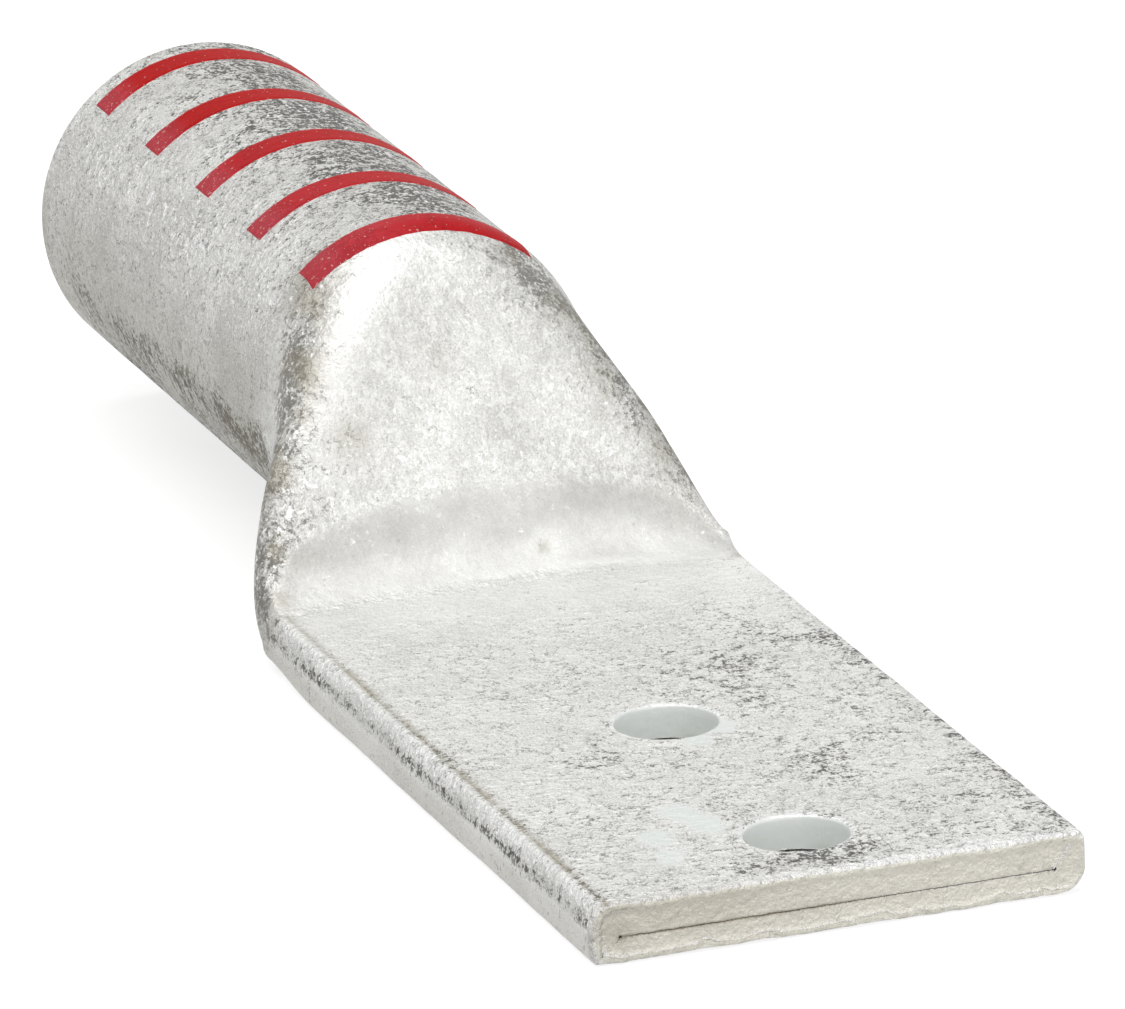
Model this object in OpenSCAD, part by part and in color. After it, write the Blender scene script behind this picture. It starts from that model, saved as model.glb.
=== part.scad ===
/* [Barrel] */
// Outside diameter of the round barrel
barrel_d = 24.6; // [22:0.1:26]
// Diameter of the bore that takes the stripped cable
bore_d = 19; // [16:0.1:20.4]
// Length of the round barrel, from its mouth to the start of the neck
barrel_len = 50.4; // [40:0.1:80]
// Height of the barrel's axis over the seating face
axis_h = 14.1; // [13.2:0.1:16]
// Width of the chamfer inside the mouth
mouth_chamfer = 0.6; // [0.2:0.1:1.2]

/* [Neck] */
// Length of the sloping neck between the barrel and the tongue
neck_len = 18.2; // [18:0.1:26]
// Length of the rounded crown where the slope leaves the barrel
crown_len = 9.4; // [4:0.1:9.5]
// Length of the hollow curve at the foot of the slope
foot_len = 8.4; // [4:0.1:8.5]
// Distance from each end of the neck at which its sides start or stop spreading
flare_inset = 2.8; // [1:0.1:4]

/* [Tongue] */
// Length of the flat tongue, from the bend at its root to its tip
tongue_len = 65.6; // [50:0.1:90]
// Width of the tongue
tongue_w = 34.9; // [32:0.1:38]
// Thickness of the tongue, two walls of the tube pressed together
tongue_t = 4.4; // [3.8:0.1:5]
// Height of the seam between the two walls over the seating face
seam_h = 1.9; // [1.6:0.1:2.2]
// Gap that stays open along the seam
seam_gap = 0.15; // [0.1:0.01:0.3]
// Width of the solid fold between the seam and each side
fold_w = 2.1; // [1.8:0.1:3]
// Height of the small pocket that the fold leaves at each end of the seam
pocket_h = 1; // [0.6:0.1:1.2]
// Width of that pocket
pocket_w = 0.35; // [0.2:0.01:0.6]
// Radius of both upper side edges
top_edge_r = 1; // [0.6:0.1:1.4]
// Radius of the lower side edge on the left, seen from the tip
left_low_r = 0.7; // [0.5:0.1:1.4]
// Radius of the lower side edge on the right, seen from the tip
right_low_r = 2.1; // [0.6:0.1:2.1]
// Radius that the shear leaves along the top of the tip
tip_roll_r = 0.5; // [0.2:0.1:0.8]

/* [Stud holes] */
// Diameter of the two stud holes
hole_d = 7.14; // [5:0.01:9]
// Distance between the centres of the stud holes
hole_pitch = 25.4; // [16:0.1:32]
// Distance from the tip to the centre of the first hole
hole_to_tip = 7.9; // [6:0.1:10]
// Width of the bevel that the punch leaves round each hole's upper rim
hole_bevel = 0.25; // [0.1:0.05:0.5]

/* [Colour bands] */
// Number of painted bands across the top of the barrel
band_count = 5; // [1:1:5]
// Width of one band along the barrel
band_w = 3.1; // [1.5:0.1:4]
// Distance from one band's centre to the next
band_pitch = 11.77; // [8:0.01:11.8]
// Distance from the mouth to the first band's centre
band_first = 3.7; // [2.5:0.1:3.8]
// Angle that each band covers, half on either side of the top
band_angle = 84; // [40:1:120]
// Thickness of the ink film
ink_t = 0.08; // [0.05:0.01:0.15]

/* [Hidden] */

$fn = 96;
// Points on a quarter turn of the neck's outline, and stations along it
quarter_points = 12;
neck_steps = 26;
// Share of the flare over which the sides turn outwards, and then back to straight
flare_lead = 0.45;
flare_tail = 0.55;
// How fast the side's round shrinks across the width and down the height
round_power_y = 1.1;
round_power_z = 0.25;
// The neck runs this far into its neighbours, a hair inside their skin
lap = 0.4;
lap_inset = 0.05;
// Least radius of a corner in the neck's outlines
least_round = 0.01;
// Cutting tools reach this far past the faces that they cut
past = 1;

barrel_r = barrel_d / 2;
bore_r = bore_d / 2;
barrel_wall = barrel_r - bore_r;
barrel_top = axis_h + barrel_r;
barrel_low = axis_h - barrel_r;
// The origin lies midway between the stud holes, on the seating face
tip_x = hole_pitch / 2 + hole_to_tip;
bend_x = tip_x - tongue_len;
neck_x = bend_x - neck_len;
mouth_x = neck_x - barrel_len;

// Smooth step from 0 to 1: its slope grows over the share lead and fades over the share tail
function ease(t, lead, tail) =
    let (s = min(1, max(0, t)), k = 1 / (1 - (lead + tail) / 2))
    s < lead ? k * s * s / (2 * lead)
    : s > 1 - tail ? 1 - k * (1 - s) * (1 - s) / (2 * tail)
    : k * (s - lead / 2);

// Slope of that step
function ease_rate(t, lead, tail) =
    let (s = min(1, max(0, t)), k = 1 / (1 - (lead + tail) / 2))
    s < lead ? k * s / lead
    : s > 1 - tail ? k * (1 - s) / tail
    : k;

// How far the flare has come at the share t of the neck's length
function flare(t) = min(1, max(0, (t * neck_len - flare_inset) / (neck_len - 2 * flare_inset)));

// Height of the neck's upper skin, and the length of its slope for one millimetre of neck
function skin_top(t) =
    barrel_top - (barrel_top - tongue_t) * ease(t, crown_len / neck_len, foot_len / neck_len);
function skin_stretch(t) =
    let (rise = (barrel_top - tongue_t) / neck_len * ease_rate(t, crown_len / neck_len, foot_len / neck_len))
    sqrt(1 + rise * rise);
function skin_low(t) = barrel_low * (1 - ease(t, 0.5, 0.5));
function skin_half_w(t) = barrel_r + (tongue_w / 2 - barrel_r) * ease(flare(t), flare_lead, flare_tail);

// Value between the barrel's and the tongue's at the share t of the neck's length
function between(t, at_barrel, at_tongue) = at_barrel + (at_tongue - at_barrel) * t;

// Radii of one corner of the outline: [across, up], from the barrel's round to the tongue's edge
function corner_radii(t, edge_r, wall, half_h) =
    let (left = 1 - flare(t))
    [max(least_round, edge_r + (barrel_r - edge_r) * pow(left, round_power_y) - wall),
     max(least_round, min(half_h, edge_r + (barrel_r - edge_r) * pow(left, round_power_z) - wall))];

// Quarter of an ellipse about [y, z], with the points halfway between its equal steps
function quarter(y, z, radii, from) = [
    for (i = [0 : quarter_points - 1])
        let (a = from + 90 * (i + 0.5) / quarter_points)
        [y + radii[0] * cos(a), z + radii[1] * sin(a)]
];

// Outline of four rounded corners, counter-clockwise as seen from the tip
function outline(t, half_w, low, top, wall) =
    let (
        half_h = (top - low) / 2,
        mid = (top + low) / 2,
        a = corner_radii(t, top_edge_r, wall, half_h),
        b = corner_radii(t, left_low_r, wall, half_h),
        c = corner_radii(t, right_low_r, wall, half_h)
    )
    concat(
        quarter(half_w - a[0], mid + half_h - a[1], a, 0),
        quarter(a[0] - half_w, mid + half_h - a[1], a, 90),
        quarter(b[0] - half_w, mid - half_h + b[1], b, 180),
        quarter(half_w - c[0], mid - half_h + c[1], c, 270)
    );

// Outer outline of the neck, grown outwards by grow
function outer_outline(t, grow) =
    outline(t, skin_half_w(t) + grow, skin_low(t) - grow, skin_top(t) + grow, -grow);

// Outline of the hollow, which keeps the wall's thickness down the slope and closes to the seam
function inner_outline(t, grow) =
    let (
        side = between(t, barrel_wall, fold_w),
        floor_wall = between(t, barrel_wall, seam_h - seam_gap / 2),
        roof_wall = between(t, barrel_wall, tongue_t - seam_h - seam_gap / 2),
        low = skin_low(t) + floor_wall,
        top = max(low + seam_gap, skin_top(t) - roof_wall * skin_stretch(t))
    )
    outline(t, skin_half_w(t) - side + grow, low - grow, top + grow, side - grow);

// Closed skin through rings of equal point counts, given as [x, outline]
module loft(rings) {
    count = len(rings[0][1]);
    last = len(rings) - 1;
    points = [for (ring = rings) for (p = ring[1]) [ring[0], p[0], p[1]]];
    sides = [
        for (i = [0 : last - 1])
            for (j = [0 : count - 1])
                let (k = (j + 1) % count, here = i * count, next = here + count)
                for (face = [[here + j, next + j, next + k], [here + j, next + k, here + k]])
                    face
    ];
    start = [for (j = [0 : count - 1]) j];
    end = [for (j = [count - 1 : -1 : 0]) last * count + j];
    polyhedron(points, concat([start], sides, [end]), convexity = 6);
}

// Places of the rings: a straight lap at each end, and equal steps along the neck
function neck_stations() = [
    for (i = [-1 : neck_steps + 1])
        let (t = min(1, max(0, i / neck_steps)))
        [neck_x + neck_len * t + (i < 0 ? -lap : i > neck_steps ? lap : 0), t]
];

module neck_skin(grow) {
    loft([for (s = neck_stations()) [s[0], outer_outline(s[1], grow - lap_inset)]]);
}

module neck_hollow() {
    loft([for (s = neck_stations()) [s[0], inner_outline(s[1], -lap_inset)]]);
}

module along_x(x, z) {
    translate([x, 0, z])
        rotate([0, 90, 0])
            children();
}

// Outside of the barrel and the neck, grown by grow
module round_form(grow) {
    along_x(mouth_x, axis_h)
        cylinder(r = barrel_r + grow, h = barrel_len);
    neck_skin(grow);
}

module tongue_blank() {
    half = tongue_w / 2;
    widest = max(top_edge_r, left_low_r, right_low_r);
    translate([bend_x, 0, 0])
        rotate([90, 0, 90])
            linear_extrude(tongue_len)
                union() {
                    translate([widest - half, 0])
                        square([tongue_w - 2 * widest, tongue_t]);
                    translate([-half, left_low_r])
                        square([widest, tongue_t - top_edge_r - left_low_r]);
                    translate([half - widest, right_low_r])
                        square([widest, tongue_t - top_edge_r - right_low_r]);
                    translate([top_edge_r - half, tongue_t - 2 * top_edge_r])
                        square([widest, 2 * top_edge_r]);
                    translate([half - top_edge_r - widest, tongue_t - 2 * top_edge_r])
                        square([widest, 2 * top_edge_r]);
                    translate([left_low_r - half, 0])
                        square([widest, 2 * left_low_r]);
                    for (side = [-1, 1])
                        translate([side * (half - top_edge_r), tongue_t - top_edge_r])
                            circle(top_edge_r);
                    translate([left_low_r - half, left_low_r])
                        circle(left_low_r);
                    translate([half - right_low_r, right_low_r])
                        circle(right_low_r);
                }
}

// Flat slit between the pressed walls, with the pocket that each fold leaves open
module seam() {
    slit_w = tongue_w - 2 * fold_w;
    translate([bend_x - past / 10, -slit_w / 2, seam_h - seam_gap / 2])
        cube([tongue_len + past, slit_w, seam_gap]);
    for (side = [-1, 1])
        translate([bend_x, side * (slit_w - pocket_w) / 2 - pocket_w / 2, seam_h - pocket_h / 2])
            cube([tongue_len + past, pocket_w, pocket_h]);
}

// Waste outside the round that the shear draws over the tip's upper edge
module tip_roll() {
    translate([tip_x - tip_roll_r, -tongue_w / 2 - past, tongue_t - tip_roll_r])
        difference() {
            cube([tip_roll_r + past, tongue_w + 2 * past, tip_roll_r + past]);
            translate([0, -past, 0])
                rotate([-90, 0, 0])
                    cylinder(r = tip_roll_r, h = tongue_w + 4 * past);
        }
}

module stud_hole(x) {
    translate([x, 0, -past])
        cylinder(d = hole_d, h = tongue_t + 2 * past);
    translate([x, 0, tongue_t - hole_bevel])
        cylinder(r1 = hole_d / 2, r2 = hole_d / 2 + 2 * hole_bevel, h = 2 * hole_bevel);
}

module cable_bore() {
    along_x(mouth_x - past, axis_h)
        cylinder(r = bore_r, h = barrel_len + past);
    along_x(mouth_x - mouth_chamfer, axis_h)
        cylinder(r1 = bore_r + 2 * mouth_chamfer, r2 = bore_r, h = 2 * mouth_chamfer);
}

module lug_body() {
    color([0.78, 0.78, 0.76])
        difference() {
            union() {
                round_form(0);
                tongue_blank();
            }
            cable_bore();
            neck_hollow();
            seam();
            tip_roll();
            for (side = [-1, 1])
                stud_hole(side * hole_pitch / 2);
        }
}

// Wedge that holds one band: a slice of the barrel's upper side
module band_slice(x) {
    reach = barrel_r + past;
    along_x(x, axis_h)
        rotate([0, 0, 180 - band_angle / 2])
            rotate_extrude(angle = band_angle)
                square([reach, band_w]);
}

module colour_bands() {
    color([0.72, 0.05, 0.08])
        difference() {
            intersection() {
                round_form(ink_t);
                union()
                    for (i = [0 : band_count - 1])
                        band_slice(mouth_x + band_first + i * band_pitch - band_w / 2);
            }
            round_form(0);
        }
}

lug_body();
colour_bands();
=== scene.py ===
"""Looks of a two-hole compression lug in tinned copper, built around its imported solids. All lengths are metres in
the scene; the sizes of the pieces are written in millimetres and turned into metres where a mesh is made."""

import math

import bpy
import numpy as np
from mathutils import Matrix, Vector


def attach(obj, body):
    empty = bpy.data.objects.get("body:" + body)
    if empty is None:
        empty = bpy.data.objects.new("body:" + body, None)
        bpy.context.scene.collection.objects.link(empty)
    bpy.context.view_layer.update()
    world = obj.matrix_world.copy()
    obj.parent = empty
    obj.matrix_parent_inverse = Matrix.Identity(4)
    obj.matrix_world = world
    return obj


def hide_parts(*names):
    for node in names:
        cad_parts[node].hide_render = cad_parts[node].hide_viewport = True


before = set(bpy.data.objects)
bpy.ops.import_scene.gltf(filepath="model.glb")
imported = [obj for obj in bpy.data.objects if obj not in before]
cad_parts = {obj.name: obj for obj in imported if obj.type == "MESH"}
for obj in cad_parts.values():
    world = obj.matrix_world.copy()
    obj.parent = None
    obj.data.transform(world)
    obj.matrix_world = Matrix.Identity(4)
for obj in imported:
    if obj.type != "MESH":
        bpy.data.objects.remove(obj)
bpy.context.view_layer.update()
MM = 0.001

# Camera.
# A long lens almost a metre away, in front of the tip, a little to its left and above it.
LOOK_AT = np.array([-34.75, 0.70, 13.33])
LOOK_AZIMUTH, LOOK_ELEVATION, LOOK_ROLL = (math.radians(a) for a in (-18.7549, 17.8493, 2.3714))
LOOK_DISTANCE = 978.56
LENS_MM, SENSOR_MM = 453.25, 36.0

back = np.array(
    [
        math.cos(LOOK_ELEVATION) * math.cos(LOOK_AZIMUTH),
        math.cos(LOOK_ELEVATION) * math.sin(LOOK_AZIMUTH),
        math.sin(LOOK_ELEVATION),
    ]
)
level_right = np.cross(-back, [0, 0, 1])
level_right /= np.linalg.norm(level_right)
level_up = np.cross(back, level_right)
camera_right = math.cos(LOOK_ROLL) * level_right - math.sin(LOOK_ROLL) * level_up
camera_up = math.sin(LOOK_ROLL) * level_right + math.cos(LOOK_ROLL) * level_up
camera = bpy.data.objects.new("camera", bpy.data.cameras.new("camera"))
camera.data.sensor_fit = "HORIZONTAL"
camera.data.sensor_width = SENSOR_MM
camera.data.lens = LENS_MM
camera.data.clip_start, camera.data.clip_end = 0.05, 20
camera.matrix_world = Matrix.Translation(Vector((LOOK_AT + back * LOOK_DISTANCE) * MM)) @ Matrix(
    np.array([camera_right, camera_up, back]).T.tolist()
).to_4x4()
bpy.context.scene.collection.objects.link(camera)
bpy.context.scene.camera = camera
bpy.context.scene.view_settings.view_transform = "Standard"


def put(tree, kind, sockets=None, **settings):
    """Adds a shader node. sockets gives its inputs by name or number: another node's output, or a plain value."""
    made = tree.nodes.new("ShaderNode" + kind)
    for name, value in settings.items():
        setattr(made, name, value)
    for name, value in (sockets or {}).items():
        if isinstance(value, bpy.types.NodeSocket):
            tree.links.new(value, made.inputs[name])
        else:
            made.inputs[name].default_value = value
    return made


def maths(tree, operation, *values):
    """Output of a Math node over one to three values or outputs."""
    return put(tree, "Math", dict(enumerate(values)), operation=operation).outputs[0]


def new_material(name):
    """A material with an empty tree and its output node."""
    made = bpy.data.materials.new(name)
    made.use_nodes = True
    made.node_tree.nodes.clear()
    return made, made.node_tree, put(made.node_tree, "OutputMaterial")


def seen_by(tree, direct, mirrored):
    """Value direct for the rays that come straight from the camera, mirrored for those reflected or let through."""
    path = put(tree, "LightPath")
    through = maths(tree, "MAXIMUM", path.outputs["Is Glossy Ray"], path.outputs["Is Transmission Ray"])
    straight = maths(tree, "MULTIPLY", path.outputs["Is Camera Ray"], direct)
    return maths(tree, "MAXIMUM", straight, maths(tree, "MULTIPLY", through, mirrored))


# Studio.
# A pale floor that is white to the eye and keeps a soft shadow, a white backdrop, and broad soft lamps overhead.
FLOOR_HALF = 6.0
FLOOR_ALBEDO, FLOOR_LIFT, FLOOR_LIFT_REFLECTED = 0.50, 0.72, 0.50
AMBIENT = 0.42

floor_mesh = bpy.data.meshes.new("floor")
floor_mesh.from_pydata(
    [(x * FLOOR_HALF, y * FLOOR_HALF, 0) for x, y in ((-1, -1), (1, -1), (1, 1), (-1, 1))], [], [(0, 1, 2, 3)]
)
floor = bpy.data.objects.new("floor", floor_mesh)
floor.location.z = -0.00002
bpy.context.scene.collection.objects.link(floor)
floor_material, tree, out = new_material("floor")
lift = put(tree, "Emission", {"Color": (1, 1, 1, 1), "Strength": seen_by(tree, FLOOR_LIFT, FLOOR_LIFT_REFLECTED)})
paper = put(tree, "BsdfDiffuse", {"Color": (FLOOR_ALBEDO,) * 3 + (1,)})
lit = put(tree, "AddShader", {0: lift.outputs[0], 1: paper.outputs[0]})
facing_down = put(tree, "NewGeometry").outputs["Backfacing"]
clear = put(tree, "BsdfTransparent").outputs[0]
tree.links.new(put(tree, "MixShader", {0: facing_down, 1: lit.outputs[0], 2: clear}).outputs[0], out.inputs[0])
floor_mesh.materials.append(floor_material)

world = bpy.data.worlds.new("studio")
bpy.context.scene.world = world
world.use_nodes = True
tree = world.node_tree
tree.nodes.clear()
strength = maths(tree, "ADD", seen_by(tree, 1 - AMBIENT, 1 - AMBIENT), AMBIENT)
sky = put(tree, "Background", {"Color": (1, 1, 1, 1), "Strength": strength})
tree.links.new(sky.outputs[0], put(tree, "OutputWorld").inputs[0])

for name, place, size, watts in (
    ("lamp_overhead", (0.10, -0.24, 1.12), 1.20, 7.2),
    ("lamp_front", (1.30, 0.32, 0.45), 0.80, 3.6),
):
    lamp = bpy.data.objects.new(name, bpy.data.lights.new(name, "AREA"))
    lamp.data.shape = "SQUARE"
    lamp.data.size = size
    lamp.data.energy = watts
    lamp.location = place
    lamp.rotation_euler = (Vector(place) - Vector((-0.045, 0, 0.01))).to_track_quat("Z", "Y").to_euler()
    bpy.context.scene.collection.objects.link(lamp)


# Lug body.
# A copper tube, tinned all over: its barrel stays round, and a press has flattened the rest into a double tongue,
# which is sheared off at the tip and punched for two studs. The slit between its walls runs back to the bore.
MOUTH_X, NECK_X, BEND_X, TIP_X = -113.6, -63.2, -45.0, 20.6
AXIS_H, BARREL_R, BORE_R = 14.1, 12.3, 9.5
CROWN_LEN, FOOT_LEN, FLARE_INSET = 9.4, 8.4, 2.8
FLARE_LEAD, FLARE_TAIL = 0.45, 0.55
ROUND_POWER_ACROSS, ROUND_POWER_UP = 1.1, 0.25
TONGUE_W, TONGUE_T = 34.9, 4.4
SEAM_H, SEAM_GAP, FOLD_W = 1.9, 0.15, 2.1
# Corner radii of the tongue, in the order right top, left top, left bottom, right bottom.
EDGE_ACROSS, EDGE_UP = (0.55, 1.25, 0.7, 2.1), (0.6, 2.0, 1.3, 2.1)
POCKET_HALF_W, POCKET_HALF_H, POCKET_DEPTH = 0.09, (0.22, 0.10, 0.50, 0.09), 0.9
POCKET_ROUND = 0.9  # share of a pocket's half height that its corner takes
SLIT_X, TIP_GAP = 20.40, 0.02  # where the slit's mouth lies behind the sheared face, and how far it is open there
HOLE_X, HOLE_R, HOLE_BEVEL = (-12.7, 12.7), 3.57, 0.25
NECK_LEN = BEND_X - NECK_X
BARREL_TOP, BARREL_LOW = AXIS_H + BARREL_R, AXIS_H - BARREL_R

# Columns round a ring: each quarter has its side, its corner and its flat, so the tongue's columns run straight.
SIDE_COLS, CORNER_COLS, FLAT_COLS = 3, 8, 33
QUARTER_COLS = SIDE_COLS + CORNER_COLS + FLAT_COLS
COLS = 4 * QUARTER_COLS
TOP_COL, LOW_COL = QUARTER_COLS, 3 * QUARTER_COLS
PATCH = 11  # columns and rows on each side of a hole's centre that its round patch takes


def step(value, start, end):
    """Smooth step: 0 before start, 1 after end, and 3s^2 - 2s^3 of the share s between them."""
    s = np.clip((np.asarray(value, float) - start) / (end - start), 0, 1)
    return s * s * (3 - 2 * s)


def hump(value, centre, width):
    """Bell curve exp(-((value - centre) / width)^2)."""
    return np.exp(-(((value - centre) / width) ** 2))


def ease(t, lead, tail):
    """Step from 0 to 1 whose slope grows evenly over the share lead, stays, and fades evenly over the share tail."""
    s, k = np.clip(t, 0, 1), 1 / (1 - (lead + tail) / 2)
    return np.where(
        s < lead, k * s * s / (2 * lead), np.where(s > 1 - tail, 1 - k * (1 - s) ** 2 / (2 * tail), k * (s - lead / 2))
    )


def ease_rate(t, lead, tail):
    """Slope of ease: k s / lead, then k, then k (1 - s) / tail."""
    s, k = np.clip(t, 0, 1), 1 / (1 - (lead + tail) / 2)
    return np.where(s < lead, k * s / lead, np.where(s > 1 - tail, k * (1 - s) / tail, k))


def soft_noise(points, size, seed):
    """Value noise from 0 to 1 at points in mm: hashed numbers on a lattice of cells of that size, blended smoothly."""
    p = np.asarray(points, float) / size + seed * 17.31
    cell = np.floor(p).astype(np.int64)
    f = p - cell
    f = f * f * (3 - 2 * f)
    total = 0.0
    for corner in np.ndindex(2, 2, 2):
        c = cell + np.array(corner)
        h = (c[..., 0] * 73856093) ^ (c[..., 1] * 19349663) ^ (c[..., 2] * 83492791) ^ (seed * 2654435)
        h = (h ^ (h >> 13)) * 1274126177 & 0x7FFFFFFF
        share = np.prod(np.where(np.array(corner) == 1, f, 1 - f), axis=-1)
        total = total + share * (h % 65536) / 65535
    return total


def sections(x):
    """Half width, lowest and highest point of the outside at each x, with how far the flare has come."""
    t = np.clip((x - NECK_X) / NECK_LEN, 0, 1)
    flare = np.clip((t * NECK_LEN - FLARE_INSET) / (NECK_LEN - 2 * FLARE_INSET), 0, 1)
    half_w = BARREL_R + (TONGUE_W / 2 - BARREL_R) * ease(flare, FLARE_LEAD, FLARE_TAIL)
    top = BARREL_TOP - (BARREL_TOP - TONGUE_T) * ease(t, CROWN_LEN / NECK_LEN, FOOT_LEN / NECK_LEN)
    low = BARREL_LOW * (1 - ease(t, 0.5, 0.5))
    return t, flare, half_w, low, top


def quarter_shares(columns):
    """Quarter number, and share from the side to the centre, of each ring column. Odd quarters run backwards."""
    quarter = np.floor(columns / QUARTER_COLS).astype(int)
    share = columns / QUARTER_COLS - quarter
    return quarter % 4, np.where(quarter % 2 == 1, 1 - share, share)


def outline(x, columns, half_w, mid, half_h, a, b, turn):
    """Points of the rings at each x, counter-clockwise as seen from the tip, from the right side's middle.

    In each quarter a straight side leads to an elliptical corner of radii a and b that turns by the angle turn, and
    a flat leads on to the centre. Columns share a quarter out by length on the barrel, and by fixed numbers on the
    tongue, so that they run straight there.
    """
    quarter, share = quarter_shares(columns)
    straight = step(x, NECK_X + 0.55 * NECK_LEN, NECK_X + 0.93 * NECK_LEN)
    side_len, flat_len, corner_len = half_h - b, half_w - a, math.pi / 2 * np.sqrt((a * a + b * b) / 2)
    total = side_len + flat_len + corner_len
    p1 = np.maximum(1e-9, side_len / total * (1 - straight) + SIDE_COLS / QUARTER_COLS * straight)
    p2 = np.minimum(1 - 1e-9, 1 - flat_len / total * (1 - straight) - FLAT_COLS / QUARTER_COLS * straight)
    angle = turn * np.clip((share - p1) / (p2 - p1), 0, 1)
    out_part = (half_w - a + a * np.cos(angle)) * np.clip((1 - share) / (1 - p2), 0, 1)
    up_part = np.where(share < p1, (half_h - b) * share / p1, half_h - b + b * np.sin(angle))
    across = np.where((quarter == 0) | (quarter == 3), out_part, -out_part)
    up = mid + np.where(quarter < 2, up_part, -up_part)
    return np.stack(np.broadcast_arrays(x, across, up), -1)


def outside(x, columns):
    """The outer skin: a circle on the barrel, a rounded oblong on the tongue, and in between corners whose radii
    shrink as powers of the share of the flare that is left."""
    t, flare, half_w, low, top = sections(x)
    half_h, left = (top - low) / 2, 1 - flare
    quarter = quarter_shares(columns)[0]
    across, up = np.array(EDGE_ACROSS)[quarter], np.array(EDGE_UP)[quarter]
    heel = hump(x, BEND_X - 1.8, 4.6) * (quarter == 2)
    a = across + 1.3 * heel + (BARREL_R - across) * left**ROUND_POWER_ACROSS
    least_side = 1 - 0.02 * step(t, 0.4, 0.6)
    b = np.minimum(half_h * least_side, up + 0.6 * heel + (BARREL_R - up) * left**ROUND_POWER_UP)
    return outline(x, columns, half_w, (top + low) / 2, half_h, a, b, math.pi / 2)


def inside(x, columns):
    """The bore, the closing hollow of the neck, and the slit with a small pocket at each of its ends: there the
    corner ellipse turns on past the quarter until it is back at half the slit's height. Tin has nearly closed the
    slit just behind the tip."""
    t, flare, half_w, low, top = sections(x)
    wall = BARREL_R - BORE_R
    rise = (BARREL_TOP - TONGUE_T) / NECK_LEN * ease_rate(t, CROWN_LEN / NECK_LEN, FOOT_LEN / NECK_LEN)
    roof = top - (wall + (TONGUE_T - SEAM_H - SEAM_GAP / 2 - wall) * t) * np.sqrt(1 + rise * rise)
    ground = low + wall + (SEAM_H - SEAM_GAP / 2 - wall) * t
    roof = np.maximum(roof, ground + SEAM_GAP)
    half_h, pinch = (roof - ground) / 2, step(t, 0.85, 1.0)
    half_w = half_w - wall - (FOLD_W - wall) * t
    opened = step(x, SLIT_X - POCKET_DEPTH, SLIT_X)
    pocket = 0.55 * SEAM_GAP * (1 - opened) + np.array(POCKET_HALF_H)[quarter_shares(columns)[0]] * opened
    round_in = BORE_R * (1 - flare) + 0.01
    a = np.minimum(half_w, round_in) * (1 - pinch) + POCKET_HALF_W * pinch
    least_side = 1 - 0.02 * step(t, 0.4, 0.6)
    b = np.minimum(half_h * least_side, round_in) * (1 - pinch) + POCKET_ROUND * pocket * pinch
    gap = SEAM_GAP - (SEAM_GAP - TIP_GAP) * step(x, SLIT_X - 1.5, SLIT_X - 0.6)
    turn = math.pi / 2 + pinch * (math.pi / 2 - np.arcsin((gap / 2 / pocket - 1 + POCKET_ROUND) / POCKET_ROUND))
    heights = half_h * (1 - pinch) + pocket * pinch
    return outline(x, columns, half_w, (roof + ground) / 2, heights, a, b, turn)


def grid_normals(points, wraps):
    """Unit normals of a grid: the cross product of the steps round the ring and along the rows."""
    along = np.gradient(points, axis=0)
    if wraps:
        round_ = np.roll(points, -1, 1) - np.roll(points, 1, 1)
    else:
        round_ = np.gradient(points, axis=1)
    n = np.cross(round_, along)
    return n / np.maximum(np.linalg.norm(n, axis=-1, keepdims=True), 1e-12)


def foot_lines(y):
    """x of the arc where the press began, and of the bend where it ended, at each y across the neck's foot."""
    arc = -51.5 + 0.0068 * y * y + 0.17 * np.maximum(0, abs(y) - 13) ** 2
    bend = -46.65 + 0.010 * np.maximum(0, y - 2) ** 2
    return arc, bend


def pressed_share(points):
    """1 inside the pressed foot, between its arc and the bend, with soft edges."""
    arc, bend = foot_lines(points[..., 1])
    x = points[..., 0]
    return step(x, arc - 0.25, arc + 0.45) * (1 - step(x, bend - 0.5, bend + 0.9))


def settled(points, normals):
    """The skin after the press and handling: pushed in along its normals by broad and fine waves, by the pressed foot
    and by the crease along the tongue's left edge. Nothing moves outwards, so it stays inside the solid's box."""
    x, y, z = np.moveaxis(points, -1, 0)
    waves = 0.05 * soft_noise(points, 9.0, 3) + 0.035 * soft_noise(points, 3.1, 5) + 0.015 * soft_noise(points, 1.2, 7)
    waves *= 1 - 0.5 * pressed_share(points)
    upward = step(normals[..., 2], 0.15, 0.4)
    arc, bend = foot_lines(y)
    fading = 1 - 0.9 * np.clip((x - arc) / (bend - arc), 0, 1)
    foot = 0.065 * pressed_share(points) * fading * upward * (1 - step(abs(y), 12.5, 15.5))
    crease_depth = 0.07 + 0.06 * soft_noise(points * [1, 0, 0], 2.5, 11)
    crease = crease_depth * hump(y, -16.25, 0.20) * step(x, -45, -41) * step(normals[..., 2], 0.7, 0.9)
    return points - normals * (waves + foot + crease)[..., None]


def spaced(*parts):
    """Stations from (start, end, steps) parts that follow each other, without repeating the shared ends."""
    runs = [np.linspace(a, b, n + 1)[:-1] for a, b, n in parts]
    return np.concatenate(runs + [[parts[-1][1]]])


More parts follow.
